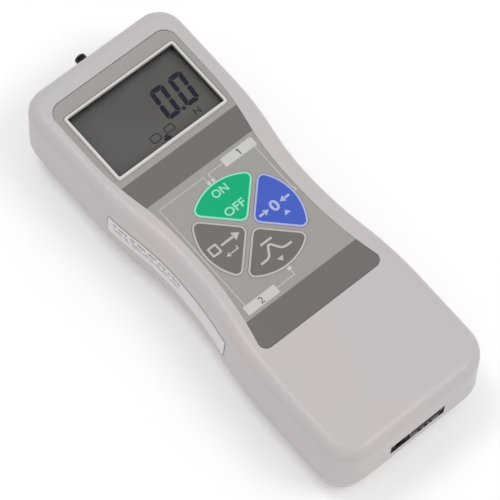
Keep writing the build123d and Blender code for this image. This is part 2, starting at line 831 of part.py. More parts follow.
def cross_bar(y, z, start_x, end_x, radius):
    """A round bar or bore lying along X."""
    bar = Cylinder(radius, end_x - start_x, align=(Align.CENTER, Align.CENTER, Align.MIN))
    return Pos(start_x, y, z) * Rot(0, 90, 0) * bar


def battery_cells():
    """Cans with their contact button, turned about in each row as the circuit needs."""
    half = cell_can_length / 2
    cells = []
    for index, (y, z) in enumerate(battery_places()):
        cell = cross_bar(y, z, -half, half, cell_radius)
        cell += cross_bar(y, z, half, half + cell_button_height, cell_button_radius)
        cells.append(mirror(cell, Plane.YZ) if index % 2 else cell)
    return joined(cells)


def battery_holder():
    """Cradle on the rear case floor: a tray with two round beds."""
    half_x = cell_can_length / 2 - 4
    half_y = cell_spacing / 2 + cell_radius + holder_side
    y0 = battery_centre_y
    tray = block((-half_x, half_x), (y0 - half_y, y0 + half_y), (wall, wall + holder_height))
    for y, z in battery_places()[:2]:
        tray -= cross_bar(y, z, -cell_can_length, cell_can_length, cell_radius + thread_clearance)
    return tray


# ---- Connectors ---------------------------------------------------------------------------------

def connector_board_bottom():
    return connector_board_top - connector_board_thickness


def connector_board_y():
    return connector_board_start_y + connector_board_depth / 2


def connector_board():
    half = connector_board_width / 2
    y = connector_board_y()
    depth = (connector_board_start_y, connector_board_start_y + connector_board_depth)
    board = block((-half, half), depth, (connector_board_bottom(), connector_board_top))
    for x in (connector_screw_x, -connector_screw_x):
        board -= post(x, y, 0, case_thickness, connector_screw_radius + hole_clearance)
    return board


def connector_screws():
    screw = Rot(180, 0, 0) * plain_screw(connector_screw_radius, connector_screw_length)
    return joined([Pos(x, connector_board_y(), connector_board_top) * screw
                   for x in (connector_screw_x, -connector_screw_x)])


def socket_limits():
    """X and Z limits of the output socket: it fills the right side of the port."""
    right = port_width / 2 - connector_clearance
    return (right - socket_width, right), (connector_board_top, port_top - connector_clearance)


def output_socket():
    """Metal shell, open to the foot end."""
    x, z = socket_limits()
    shell = block(x, (connector_face_y, connector_face_y + socket_depth), z)
    shell = fillet(shell.edges().filter_by(Axis.Y), socket_corner_radius)
    inside_x = (x[0] + socket_wall, x[1] - socket_wall)
    inside_z = (z[0] + socket_wall, z[1] - socket_wall)
    return shell - block(inside_x, (connector_face_y - 1, connector_face_y + socket_cavity_depth), inside_z)


def tongue_limits():
    x, z = socket_limits()
    centre = (x[0] + x[1]) / 2
    half = contact_count * contact_pitch / 2
    low = z[0] + socket_wall + tongue_lift
    rear = connector_face_y + socket_cavity_depth
    return (centre - half, centre + half), (rear - tongue_length, rear), (low, low + tongue_height)


def socket_tongue():
    return block(*tongue_limits())


def socket_contacts():
    x, y, z = tongue_limits()
    pads = []
    for index in range(contact_count):
        centre = x[0] + (index + 0.5) * contact_pitch
        pads.append(block((centre - contact_width / 2, centre + contact_width / 2), (y[0] + 0.4, y[1]),
                          (z[1], z[1] + contact_thickness)))
    return joined(pads)


def power_jack():
    """Round supply socket with its centre pin, beside the output socket."""
    x, z = socket_limits()
    right = x[0] - jack_gap
    centre = right - jack_width / 2
    middle = (z[0] + z[1]) / 2
    body = block((right - jack_width, right), (connector_face_y, connector_face_y + socket_depth), z)
    rear = connector_face_y + socket_cavity_depth
    body -= rod(centre, middle, connector_face_y - 1, rear, jack_bore_radius)
    return body + rod(centre, middle, connector_face_y + jack_pin_setback, rear, jack_pin_radius)


# ---- All sub-parts ------------------------------------------------------------------------------

key_turns = {"power": 0, "send": 90, "peak": 180, "zero": 270}

nodes = {
    "front_case": front_case,
    "rear_case": rear_case,
    "case_screws": case_screws,
    "side_label": side_label,
    "panel_overlay": panel_overlay,
    "key_switches": key_switches,
    "display_bezel": display_bezel,
    "display_window": display_window,
    "lcd_glass": lcd_glass,
    "lcd_contact_strips": lcd_contact_strips,
    "lcd_holder": lcd_holder,
    "main_board": main_board,
    "processor_chip": processor_chip,
    "board_screws": board_screws,
    "load_frame": load_frame,
    "frame_screws": frame_screws,
    "stand_bushes": stand_bushes,
    "cell_bracket": cell_bracket,
    "bracket_screws": bracket_screws,
    "cell_bolt": cell_bolt,
    "load_cell": load_cell,
    "strain_gauges": strain_gauges,
    "measuring_stem": measuring_stem,
    "stem_lock_nut": stem_lock_nut,
    "stem_bush": stem_bush,
    "battery_cells": battery_cells,
    "battery_holder": battery_holder,
    "connector_board": connector_board,
    "connector_screws": connector_screws,
    "output_socket": output_socket,
    "socket_tongue": socket_tongue,
    "socket_contacts": socket_contacts,
    "power_jack": power_jack,
}

os.makedirs("parts", exist_ok=True)
for name, build in nodes.items():
    export_step(build(), f"parts/{name}.step")
for name, turn in key_turns.items():
    export_step(key(turn), f"parts/key_{name}.step")
    export_step(switch_plunger(turn), f"parts/plunger_{name}.step")
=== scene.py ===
import math

import bpy
import numpy as np
from mathutils import Matrix, Vector


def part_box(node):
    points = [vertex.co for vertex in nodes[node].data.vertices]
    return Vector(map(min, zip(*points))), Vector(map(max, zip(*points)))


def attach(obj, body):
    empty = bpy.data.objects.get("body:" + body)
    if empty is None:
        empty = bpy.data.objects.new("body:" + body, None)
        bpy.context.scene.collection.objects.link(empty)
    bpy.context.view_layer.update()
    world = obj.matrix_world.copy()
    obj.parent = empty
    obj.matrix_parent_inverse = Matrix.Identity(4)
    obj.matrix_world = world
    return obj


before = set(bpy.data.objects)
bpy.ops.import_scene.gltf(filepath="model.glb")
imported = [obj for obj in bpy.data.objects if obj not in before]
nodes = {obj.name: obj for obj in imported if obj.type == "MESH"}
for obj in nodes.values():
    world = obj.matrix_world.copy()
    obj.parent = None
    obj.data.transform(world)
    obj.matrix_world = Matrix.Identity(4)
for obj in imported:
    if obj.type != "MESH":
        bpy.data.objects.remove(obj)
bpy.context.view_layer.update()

scene = bpy.context.scene
scene.view_settings.view_transform = "Standard"
mm = 0.001
print("loaded", len(nodes), "nodes")


def boxOf(node):
    # a node's lowest and highest corners in millimetres, to a thousandth
    return [[round(value / mm, 3) for value in corner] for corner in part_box(node)]


def tint(red, green, blue):
    # an 8-bit screen colour as the linear colour that a shader takes: the standard screen curve, which is a
    # straight line near black and a power of 2.4 above it
    value = np.array([red, green, blue]) / 255
    linear = np.where(value <= 0.04045, value / 12.92, ((value + 0.055) / 1.055) ** 2.4)
    return (*linear.tolist(), 1.0)


def addPiece(name, shape, material, body):
    # a mesh from (points in millimetres, faces), which rides on a body
    points, faces = shape
    mesh = bpy.data.meshes.new(name)
    mesh.from_pydata((np.asarray(points) * mm).tolist(), [], [list(map(int, face)) for face in faces])
    mesh.validate()
    mesh.materials.append(material)
    piece = bpy.data.objects.new(name, mesh)
    scene.collection.objects.link(piece)
    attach(piece, body)


def bandFaces(count, start, other):
    # quads between two closed rows of points: each point, the one after it, and the same two of the other
    here = np.arange(count)
    after = (here + 1) % count
    return np.stack([start + here, start + after, other + after, other + here], 1).tolist()


def inkPlate(outline, bottom, top):
    # a closed plate: the outline (anticlockwise, from above) at two heights, with walls and two lids
    outline = np.asarray(outline, float)
    count = len(outline)
    points = np.vstack([np.c_[outline, np.full(count, bottom)], np.c_[outline, np.full(count, top)]])
    faces = bandFaces(count, 0, count)
    faces += [list(range(count))[::-1], list(range(count, 2 * count))]
    return points, faces


def inkRing(outer, inner, bottom, top):
    # a closed flat ring: outer and inner loops of equal count at two heights, joined all round
    outer, inner = np.asarray(outer, float), np.asarray(inner, float)
    count = len(outer)
    levels = [np.c_[outer, np.full(count, bottom)], np.c_[outer, np.full(count, top)],
              np.c_[inner, np.full(count, top)], np.c_[inner, np.full(count, bottom)]]
    faces = []
    for level in range(4):
        faces += bandFaces(count, level * count, (level + 1) % 4 * count)
    return np.vstack(levels), faces


def strokeOutline(path, width):
    # both sides of a line: each point moved half a width along the mean of its two edge normals, mitred
    path = np.asarray(path, float)
    edges = np.diff(path, axis=0)
    normals = np.c_[-edges[:, 1], edges[:, 0]] / np.linalg.norm(edges, axis=1)[:, None]
    before = np.vstack([normals[:1], normals])
    after = np.vstack([normals, normals[-1:]])
    mitre = (before + after) / (1 + (before * after).sum(1))[:, None]
    return np.vstack([path - mitre * width / 2, (path + mitre * width / 2)[::-1]])


def joinShapes(shapes):
    # several (points, faces) pairs as one: each pair's indices grow by the number of points before it
    points, faces, shift = [], [], 0
    for shapePoints, shapeFaces in shapes:
        points.append(shapePoints)
        faces += [[index + shift for index in face] for face in shapeFaces]
        shift += len(shapePoints)
    return np.vstack(points), faces


def roundedBox(x0, x1, y0, y1, radius, steps=6):
    # a rectangle whose corners are quarter circles, anticlockwise
    angle = np.linspace(0, math.pi / 2, steps)
    corners = []
    for turn, (cx, cy) in enumerate([(x1 - radius, y1 - radius), (x0 + radius, y1 - radius),
                                     (x0 + radius, y0 + radius), (x1 - radius, y0 + radius)]):
        sweep = angle + turn * math.pi / 2
        corners.append(np.c_[cx + radius * np.cos(sweep), cy + radius * np.sin(sweep)])
    return np.vstack(corners)


def roundedFrame(x0, x1, y0, y1, radius, width, bottom, top):
    # a rounded rectangle's outline drawn with a line of one width, inside its limits; the inner corners are
    # tighter by that width, down to a least radius of 0.05 mm
    outer = roundedBox(x0, x1, y0, y1, radius)
    inner = roundedBox(x0 + width, x1 - width, y0 + width, y1 - width, max(0.05, radius - width))
    return inkRing(outer, inner, bottom, top)


def arrowHead(tip, length, half, direction):
    # a triangle with its tip first: its back corners lie the length behind it and half a width to each side
    along = np.array(direction, float)
    across = np.array([-along[1], along[0]])
    back = np.array(tip, float) - along * length
    return np.array([tip, back + across * half, back - across * half])


def letterShape(text, box, bottom, top, bold=0.0):
    # plain letters stretched to fill a box: their flat faces at two heights, joined along every open edge
    curve = bpy.data.curves.new(text, "FONT")
    curve.body = text
    curve.offset = bold
    curve.resolution_u = 4
    letters = bpy.data.objects.new(text, curve)
    scene.collection.objects.link(letters)
    mesh = bpy.data.meshes.new_from_object(letters.evaluated_get(bpy.context.evaluated_depsgraph_get()))
    bpy.data.objects.remove(letters)
    flat = np.zeros(len(mesh.vertices) * 3)
    mesh.vertices.foreach_get("co", flat)
    flat = flat.reshape(-1, 3)[:, :2]
    polygons = [list(face.vertices) for face in mesh.polygons]
    bpy.data.meshes.remove(mesh)
    low, high = flat.min(0), flat.max(0)
    x0, x1, y0, y1 = box
    flat = (flat - low) / (high - low) * [x1 - x0, y1 - y0] + [x0, y0]
    count = len(flat)
    edges = {(a, b) for face in polygons for a, b in zip(face, face[1:] + face[:1])}
    rims = sorted(edge for edge in edges if edge[::-1] not in edges)
    points = np.vstack([np.c_[flat, np.full(count, bottom)], np.c_[flat, np.full(count, top)]])
    faces = [[index + count for index in face] for face in polygons]
    faces += [face[::-1] for face in polygons]
    faces += [[a, b, b + count, a + count] for a, b in rims]
    return points, faces


def addNode(tree, kind, **settings):
    # a node of one kind, with its own settings
    node = tree.nodes.new(kind)
    for name, value in settings.items():
        setattr(node, name, value)
    return node


patchSet = {"from": 0.35, "to": 0.65, "detail": 4, "roughShift": 0.06}
grainSet = {"detail": 3, "depth": 0.00005}


def finishOf(name, base, rough, other=None, shift=0.04, patchSize=0.03, grain=0.0, grainSize=0.0006,
             metal=0.0, specular=0.5, brushed=0.0):
    # a finish whose slow patches run between two screen colours and two roughnesses, over a bump of fine
    # grain; without a second colour, the base is made a little darker and a little lighter; sizes in metres
    base = tint(*base)
    low = base if other else (*[channel * (1 - shift) for channel in base[:3]], 1)
    high = tint(*other) if other else (*[min(1.0, channel * (1 + shift)) for channel in base[:3]], 1)
    material = bpy.data.materials.new(name)
    material.use_nodes = True
    tree = material.node_tree
    shader = tree.nodes["Principled BSDF"]
    shader.inputs["Metallic"].default_value = metal
    shader.inputs["Specular IOR Level"].default_value = specular
    shader.inputs["Anisotropic"].default_value = brushed
    place = addNode(tree, "ShaderNodeTexCoord")
    patches = addNode(tree, "ShaderNodeTexNoise")
    patches.inputs["Scale"].default_value = 1 / patchSize
    patches.inputs["Detail"].default_value = patchSet["detail"]
    tree.links.new(place.outputs["Object"], patches.inputs["Vector"])
    spread = addNode(tree, "ShaderNodeMapRange")
    spread.inputs["From Min"].default_value = patchSet["from"]
    spread.inputs["From Max"].default_value = patchSet["to"]
    tree.links.new(patches.outputs["Fac"], spread.inputs["Value"])
    colours = addNode(tree, "ShaderNodeMix", data_type="RGBA")
    colours.inputs["A"].default_value = low
    colours.inputs["B"].default_value = high
    tree.links.new(spread.outputs["Result"], colours.inputs["Factor"])
    tree.links.new(colours.outputs["Result"], shader.inputs["Base Color"])
    gloss = addNode(tree, "ShaderNodeMapRange")
    gloss.inputs["To Min"].default_value = rough - patchSet["roughShift"]
    gloss.inputs["To Max"].default_value = rough + patchSet["roughShift"]
    tree.links.new(patches.outputs["Fac"], gloss.inputs["Value"])
    tree.links.new(gloss.outputs["Result"], shader.inputs["Roughness"])
    if grain:
        fine = addNode(tree, "ShaderNodeTexNoise")
        fine.inputs["Scale"].default_value = 1 / grainSize
        fine.inputs["Detail"].default_value = grainSet["detail"]
        bump = addNode(tree, "ShaderNodeBump")
        bump.inputs["Strength"].default_value = grain
        bump.inputs["Distance"].default_value = grainSet["depth"]
        tree.links.new(place.outputs["Object"], fine.inputs["Vector"])
        tree.links.new(fine.outputs["Fac"], bump.inputs["Height"])
        tree.links.new(bump.outputs["Normal"], shader.inputs["Normal"])
    return material


def bandMask(tree, low, high, axis="Y", soft=0.02):
    # 1 where the object coordinate lies between two limits in millimetres, 0 elsewhere: a rising ramp at the
    # low limit times a falling one at the high limit, each two softs wide
    place = addNode(tree, "ShaderNodeTexCoord")
    split = addNode(tree, "ShaderNodeSeparateXYZ")
    tree.links.new(place.outputs["Object"], split.inputs[0])
    product = addNode(tree, "ShaderNodeMath", operation="MULTIPLY")
    for slot, (start, end) in enumerate([(low - soft, low + soft), (high + soft, high - soft)]):
        ramp = addNode(tree, "ShaderNodeMapRange")
        ramp.inputs["From Min"].default_value = start * mm
        ramp.inputs["From Max"].default_value = end * mm
        tree.links.new(split.outputs[axis], ramp.inputs["Value"])
        tree.links.new(ramp.outputs["Result"], product.inputs[slot])
    return product.outputs[0]


def bothMasks(tree, first, second):
    # one mask from two: their product
    joined = addNode(tree, "ShaderNodeMath", operation="MULTIPLY")
    tree.links.new(first, joined.inputs[0])
    tree.links.new(second, joined.inputs[1])
    return joined.outputs[0]


def paintOver(material, mask, colour):
    # one more screen colour over a finish: the finish where the mask is 0, the colour where it is 1
    tree = material.node_tree
    socket = tree.nodes["Principled BSDF"].inputs["Base Color"]
    source = socket.links[0].from_socket
    mix = addNode(tree, "ShaderNodeMix", data_type="RGBA")
    mix.inputs["B"].default_value = tint(*colour)
    tree.links.new(mask, mix.inputs["Factor"])
    tree.links.new(source, mix.inputs["A"])
    tree.links.new(mix.outputs["Result"], socket)


# the case, with the dark line where its two shells meet
caseFinish = {
    "plastic": {"base": (198, 189, 188), "other": (193, 189, 189), "rough": 0.38, "patchSize": 0.06,
                "grain": 0.22, "grainSize": 0.0005},
    "seam": (120, 116, 114), "seamHalf": 0.09, "seamSoft": 0.03,
}
casePlastic = finishOf("casePlastic", **caseFinish["plastic"])
tree = casePlastic.node_tree
footY, seamZ = boxOf("front_case")[0][1:]
seam = bandMask(tree, seamZ - caseFinish["seamHalf"], seamZ + caseFinish["seamHalf"], "Z",
                caseFinish["seamSoft"])
paintOver(casePlastic, seam, caseFinish["seam"])

# the walls of the port's opening carry painted shade: black beside the jack, grey with dark gaps beside the
# socket
portShade = {"clearance": 0.35, "depth": 6, "wall": (142, 138, 136), "gap": (46, 43, 42), "gapSoft": 0.15,
              "shadeGapsX": [(-12, -2.6), (0.6, 2.3), (3.4, 4.7), (5.8, 6.8), (9.8, 12)]}
clearance, depth = portShade["clearance"], portShade["depth"]
low, high = boxOf("power_jack")[0], boxOf("output_socket")[1]
port = bothMasks(tree, bandMask(tree, low[0] - clearance, high[0] + clearance, "X"),
                 bandMask(tree, low[2] - clearance, high[2] + clearance, "Z"))
port = bothMasks(tree, port, bandMask(tree, footY - depth, footY + depth))
# painted shade over the walls of the opening
paintOver(casePlastic, port, portShade["wall"])
# darker painted shade where the gaps of the opening lie
for limits in portShade["shadeGapsX"]:
    gap = bothMasks(tree, port, bandMask(tree, *limits, "X", portShade["gapSoft"]))
    paintOver(casePlastic, gap, portShade["gap"])

# the bezel: a pale rim of one depth, and painted shade on its inner wall below it
bezelFinish = {
    "rim": {"base": (217, 213, 209), "rough": 0.38, "shift": 0.02, "grain": 0.1, "grainSize": 0.0004},
    "rimDepth": 1.3, "well": (44, 41, 38),
}
bezelPlastic = finishOf("bezelPlastic", **bezelFinish["rim"])
wellTop = boxOf("display_bezel")[1][2] - bezelFinish["rimDepth"]
# painted shade: the bezel below the pale rim is darkened as its inner wall in shadow
paintOver(bezelPlastic, bandMask(bezelPlastic.node_tree, 0, wellTop, "Z"), bezelFinish["well"])

# the front panel's film: two dark bands, and a slightly different grey round the display
panelFinish = {
    "film": {"base": (158, 152, 151), "other": (156, 155, 149), "rough": 0.42, "patchSize": 0.05,
             "grain": 0.12, "grainSize": 0.0003},
    "paleInk": {"base": (203, 200, 196), "rough": 0.45, "shift": 0.02},
    "darkInk": {"base": (84, 80, 78), "rough": 0.5, "shift": 0.03},
    "strip": (157, 154, 151), "stripY": (37.65, 80.0),
    "band": (106, 102, 100), "bandsY": [(26.79, 37.65), (-38.0, -25.63)],
}
panelFilm = finishOf("panelFilm", **panelFinish["film"])
paintOver(panelFilm, bandMask(panelFilm.node_tree, *panelFinish["stripY"]), panelFinish["strip"])
for limits in panelFinish["bandsY"]:
    paintOver(panelFilm, bandMask(panelFilm.node_tree, *limits), panelFinish["band"])
paleInk = finishOf("paleInk", **panelFinish["paleInk"])
darkInk = finishOf("darkInk", **panelFinish["darkInk"])

labelFinish = {
    "paper": {"base": (222, 215, 218), "rough": 0.35, "shift": 0.02, "patchSize": 0.01},
    "edge": (128, 124, 124), "edgeWidth": 0.25,
    "print": (132, 128, 128), "printedY": (2.0, 33.5), "rowsZ": [(23.7, 24.7), (21.9, 22.4), (20.7, 21.2)],
    "dash": 0.0016, "rowShift": 7.3, "bare": 0.46,
}


def labelPaper():
    # pale film with a thin dark border, and rows of dashes where slow noise along Y is above the bare share;
    # each row reads the noise further along, so no two rows are alike
    material = finishOf("labelPaper", **labelFinish["paper"])
    tree = material.node_tree
    low, high = boxOf("side_label")
    width = labelFinish["edgeWidth"]
    inside = bothMasks(tree, bandMask(tree, low[1] + width, high[1] - width),
                       bandMask(tree, low[2] + width, high[2] - width, "Z"))
    border = addNode(tree, "ShaderNodeMath", operation="SUBTRACT")
    border.inputs[0].default_value = 1
    tree.links.new(inside, border.inputs[1])
    paintOver(material, border.outputs[0], labelFinish["edge"])
    place = addNode(tree, "ShaderNodeTexCoord")
    for number, limits in enumerate(labelFinish["rowsZ"]):
        stretch = addNode(tree, "ShaderNodeMapping")
        stretch.inputs["Location"].default_value = (0, labelFinish["rowShift"] * number, 0)
        stretch.inputs["Scale"].default_value = (0, 1 / labelFinish["dash"], 0)
        dashes = addNode(tree, "ShaderNodeTexNoise")
        dashes.inputs["Scale"].default_value = 1
        dashes.inputs["Detail"].default_value = 1
        cut = addNode(tree, "ShaderNodeMath", operation="GREATER_THAN")
        cut.inputs[1].default_value = labelFinish["bare"]
        tree.links.new(place.outputs["Object"], stretch.inputs["Vector"])
        tree.links.new(stretch.outputs["Vector"], dashes.inputs["Vector"])
        tree.links.new(dashes.outputs["Fac"], cut.inputs[0])
        row = bothMasks(tree, bandMask(tree, *limits, "Z"), bandMask(tree, *labelFinish["printedY"]))
        paintOver(material, bothMasks(tree, row, cut.outputs[0]), labelFinish["print"])
    return material


# the keys: a coloured cap whose edge is pale like its rim; capEdge is how far below the top the pale
# stretch starts and ends
keyColours = {
    "power": {"cap": (0, 174, 120), "rim": (152, 222, 192), "slot": "green_key"},
    "zero": {"cap": (68, 94, 192), "rim": (172, 178, 218), "slot": "blue_key"},
    "send": {"cap": (114, 110, 107), "rim": (190, 185, 180), "slot": "grey_key"},
    "peak": {"cap": (114, 110, 107), "rim": (190, 185, 180), "slot": "grey_key"},
}
keyLooks = {"cap": {"rough": 0.42, "shift": 0.03, "grain": 0.1, "grainSize": 0.0003, "specular": 0.2},
            "rim": {"rough": 0.42, "shift": 0.02}}
keySizes = {"edge": 0.15, "capEdge": (0.25, 0.01), "capEdgeSoft": 0.004, "circleY": 0.65,
            "radius": 19.5, "gap": 1.44, "apexRadius": 2.9, "cornerRadius": 2.5, "rimWidth": 0.6}
keyTop = boxOf("key_power")[1][2]
capFinishes, rimFinishes = {}, {}
edgeLow, edgeHigh = [keyTop - depth for depth in keySizes["capEdge"]]
for key, colours in keyColours.items():
    cap = finishOf(key + "Cap", colours["cap"], **keyLooks["cap"])
    edge = bandMask(cap.node_tree, edgeLow, edgeHigh, "Z", keySizes["capEdgeSoft"])
    paintOver(cap, edge, colours["rim"])
    capFinishes[key] = cap
    rimFinishes[key] = finishOf(key + "Rim", colours["rim"], **keyLooks["rim"])

# the finishes of the display, the stem, the sockets and what is inside
plainFinishes = {
    "lcdPanel": {"base": (94, 91, 88), "other": (104, 104, 101), "rough": 0.3, "patchSize": 0.03,
                 "specular": 0.15},
    "segmentInk": {"base": (22, 23, 46), "rough": 0.35, "shift": 0.03, "specular": 0.15},
    "markInk": {"base": (26, 24, 24), "rough": 0.35, "shift": 0.03, "specular": 0.15},
    "faintInk": {"base": (62, 62, 60), "rough": 0.35, "shift": 0.06, "patchSize": 0.002, "specular": 0.15},
    "stemMetal": {"base": (20, 20, 22), "rough": 0.34, "shift": 0.2, "patchSize": 0.002, "grain": 0.2,
                  "grainSize": 0.0004, "metal": 0.9},
    # a lighter metal for the thread's crests: a painted glint on the dark stem
    "glintCrestMetal": {"base": (120, 120, 122), "rough": 0.25, "shift": 0.4, "patchSize": 0.001, "metal": 0.9},
    "zincSteel": {"base": (176, 176, 178), "rough": 0.35, "patchSize": 0.002, "grain": 0.15,
                  "grainSize": 0.0004, "metal": 1.0, "brushed": 0.3},
    "turnedBrass": {"base": (196, 164, 96), "rough": 0.3, "patchSize": 0.003, "grain": 0.1,
                    "grainSize": 0.0003, "metal": 1.0, "brushed": 0.4},
    "milledAlloy": {"base": (190, 191, 194), "rough": 0.42, "patchSize": 0.006, "grain": 0.2,
                    "grainSize": 0.0004, "metal": 1.0, "brushed": 0.5},
    "socketMetal": {"base": (168, 167, 164), "rough": 0.3, "patchSize": 0.003, "grain": 0.1,
                    "grainSize": 0.0005, "metal": 0.9},
    "contactGold": {"base": (205, 170, 96), "rough": 0.25, "patchSize": 0.002, "metal": 1.0},
    "jackPlastic": {"base": (14, 14, 15), "rough": 0.5, "shift": 0.1, "grain": 0.15, "grainSize": 0.0004,
                    "specular": 0.15},
    "blackPlastic": {"base": (34, 34, 36), "rough": 0.45, "shift": 0.1, "grain": 0.15, "grainSize": 0.0004},
    "boardLaminate": {"base": (22, 80, 50), "other": (28, 100, 62), "rough": 0.35, "patchSize": 0.004,
                      "grain": 0.2, "grainSize": 0.0008},
    "stripRubber": {"base": (60, 60, 62), "rough": 0.7, "shift": 0.2, "patchSize": 0.001, "grain": 0.2,
                    "grainSize": 0.0004},
    "foilGauge": {"base": (196, 140, 60), "rough": 0.4, "shift": 0.15, "patchSize": 0.001, "grain": 0.2,
                  "grainSize": 0.0004},
    "cellSleeve": {"base": (44, 66, 120), "rough": 0.3, "shift": 0.08, "patchSize": 0.01},
}
finishes = {name: finishOf(name, **look) for name, look in plainFinishes.items()}

windowFinish = {"through": 0.95, "mirrorRough": 0.06, "edgeBlend": 0.05}


def clearWindow():
    # a clear sheet: transparent, with a mirror share that grows towards grazing angles
    material = bpy.data.materials.new("clearWindow")
    material.use_nodes = True
    tree = material.node_tree
    tree.nodes.remove(tree.nodes["Principled BSDF"])
    through = addNode(tree, "ShaderNodeBsdfTransparent")
    through.inputs["Color"].default_value = (*[windowFinish["through"]] * 3, 1)
    mirror = addNode(tree, "ShaderNodeBsdfGlossy")
    mirror.inputs["Roughness"].default_value = windowFinish["mirrorRough"]
    share = addNode(tree, "ShaderNodeLayerWeight")
    share.inputs["Blend"].default_value = windowFinish["edgeBlend"]
    mix = addNode(tree, "ShaderNodeMixShader")
    tree.links.new(share.outputs["Facing"], mix.inputs[0])
    tree.links.new(through.outputs[0], mix.inputs[1])
    tree.links.new(mirror.outputs[0], mix.inputs[2])
    tree.links.new(mix.outputs[0], tree.nodes["Material Output"].inputs["Surface"])
    return material


dressing = {
    casePlastic: ["front_case", "rear_case"],
    labelPaper(): ["side_label"],
    panelFilm: ["panel_overlay"],
    bezelPlastic: ["display_bezel"],
    clearWindow(): ["display_window"],
    finishes["lcdPanel"]: ["lcd_glass"],
    finishes["stemMetal"]: ["measuring_stem"],
    finishes["zincSteel"]: ["case_screws", "board_screws", "frame_screws", "bracket_screws", "cell_bolt",
                            "connector_screws", "stem_lock_nut"],
    finishes["turnedBrass"]: ["stand_bushes"],
    finishes["milledAlloy"]: ["load_frame", "cell_bracket", "load_cell"],
    finishes["socketMetal"]: ["output_socket"],
    finishes["contactGold"]: ["socket_contacts"],
    finishes["blackPlastic"]: ["key_switches", "lcd_holder", "processor_chip", "stem_bush", "battery_holder",
                               "socket_tongue", *["plunger_" + key for key in keyColours]],
    finishes["jackPlastic"]: ["power_jack"],
    finishes["boardLaminate"]: ["main_board", "connector_board"],
    finishes["stripRubber"]: ["lcd_contact_strips"],
    finishes["foilGauge"]: ["strain_gauges"],
    finishes["cellSleeve"]: ["battery_cells"],
}
for key, cap in capFinishes.items():
    dressing[cap] = ["key_" + key]
for material, names in dressing.items():
    for name in names:
        nodes[name].data.materials.clear()
        nodes[name].data.materials.append(material)
print("finishes on", sum(map(len, dressing.values())), "nodes")


def sectorLoop(inset, steps=10):
    # a quarter disc pointing down: arcs round the tip, the two outer corners and the rim, all moved in by
    # the inset; each arc is tangent to the straight sides, which lie at 45 degrees, or to the rim circle
    radius = keySizes["radius"] - inset
    tipRadius = keySizes["apexRadius"] - inset
    cornerRadius = keySizes["cornerRadius"] - inset
    apex = (keySizes["gap"] / 2 + inset) * math.sqrt(2)
    tipCentre = apex + tipRadius * math.sqrt(2)
    side = apex / math.sqrt(2) + cornerRadius
    along = math.sqrt((radius - cornerRadius) ** 2 - side ** 2)
    cornerX = (along - side) / math.sqrt(2)
    cornerY = (along + side) / math.sqrt(2)
    lean = math.atan2(cornerX, cornerY)
    tip = np.linspace(-0.75 * math.pi, -0.25 * math.pi, steps)
    corner = np.linspace(-0.25 * math.pi, math.pi / 2 - lean, steps)
    back = corner[::-1]
    rim = np.linspace(math.pi / 2 - lean, math.pi / 2 + lean, 3 * steps)[1:-1]
    points = [np.c_[tipRadius * np.cos(tip), tipCentre + tipRadius * np.sin(tip)],
              np.c_[cornerX + cornerRadius * np.cos(corner), cornerY + cornerRadius * np.sin(corner)],
              np.c_[radius * np.cos(rim), radius * np.sin(rim)],
              np.c_[-cornerX - cornerRadius * np.cos(back), cornerY + cornerRadius * np.sin(back)]]
    return np.vstack(points)


def turned(points, degrees):
    # points in the plane turned about the origin, then moved up to the middle of the key disc
    angle = math.radians(degrees)
    turn = np.array([[math.cos(angle), math.sin(angle)], [-math.sin(angle), math.cos(angle)]])
    return np.asarray(points) @ turn + [0, keySizes["circleY"]]


# print is a thin plate, sunk a little into its surface and a little proud of it
inkSet = {"sunk": 0.01, "proud": 0.015}
inkHeights = (keyTop - inkSet["sunk"], keyTop + inkSet["proud"])
keyTurns = {"power": 0, "send": 90, "peak": 180, "zero": 270}
for key, angle in keyTurns.items():
    outer = turned(sectorLoop(keySizes["edge"]), angle)
    inner = turned(sectorLoop(keySizes["edge"] + keySizes["rimWidth"]), angle)
    addPiece("rim_" + key, inkRing(outer, inner, *inkHeights), rimFinishes[key], key + "_key")
print("key rims")


def addMark(name, shapes, key):
    # one key's mark: its shapes joined, in the colour of that key's rim
    addPiece(name, joinShapes(shapes), rimFinishes[key], key + "_key")


powerWords = {"on": (-3.1, 3.1, 14.76, 17.92), "off": (-4.1, 4.1, 6.96, 10.17), "bold": 0.018}
addMark("onWord", [letterShape("ON", powerWords["on"], *inkHeights, powerWords["bold"])], "power")
addMark("offWord", [letterShape("OFF", powerWords["off"], *inkHeights, powerWords["bold"])], "power")

# lines run a little into their arrow heads; lowHead is the small triangle near the rim of a key
arrowSet = {"stroke": 0.85, "overlap": 0.1, "lowLength": 1.7, "lowHalf": 1.3}
stroke, overlap = arrowSet["stroke"], arrowSet["overlap"]
lowHead = (arrowSet["lowLength"], arrowSet["lowHalf"])

zeroMarks = {"middleY": 0.8, "digit": (9.1, 12.3, -1.3, 2.9), "outerX": (4.2, 17.2), "tipsX": (8.3, 13.1),
             "head": 2.0, "half": 1.25, "bold": 0.03, "lowTip": (12.4, -2.6)}
y, head, half = zeroMarks["middleY"], zeroMarks["head"], zeroMarks["half"]
leftEnd, rightEnd = zeroMarks["outerX"]
leftTip, rightTip = zeroMarks["tipsX"]
addMark("zeroDigit", [letterShape("0", zeroMarks["digit"], *inkHeights, zeroMarks["bold"])], "zero")
outlines = [
    strokeOutline([(leftEnd, y), (leftTip - head + overlap, y)], stroke),
    arrowHead((leftTip, y), head, half, (1, 0)),
    strokeOutline([(rightTip + head - overlap, y), (rightEnd, y)], stroke),
    arrowHead((rightTip, y), head, half, (-1, 0)),
    arrowHead(zeroMarks["lowTip"], *lowHead, (0, 1)),
]
addMark("zeroArrows", [inkPlate(outline, *inkHeights) for outline in outlines], "zero")

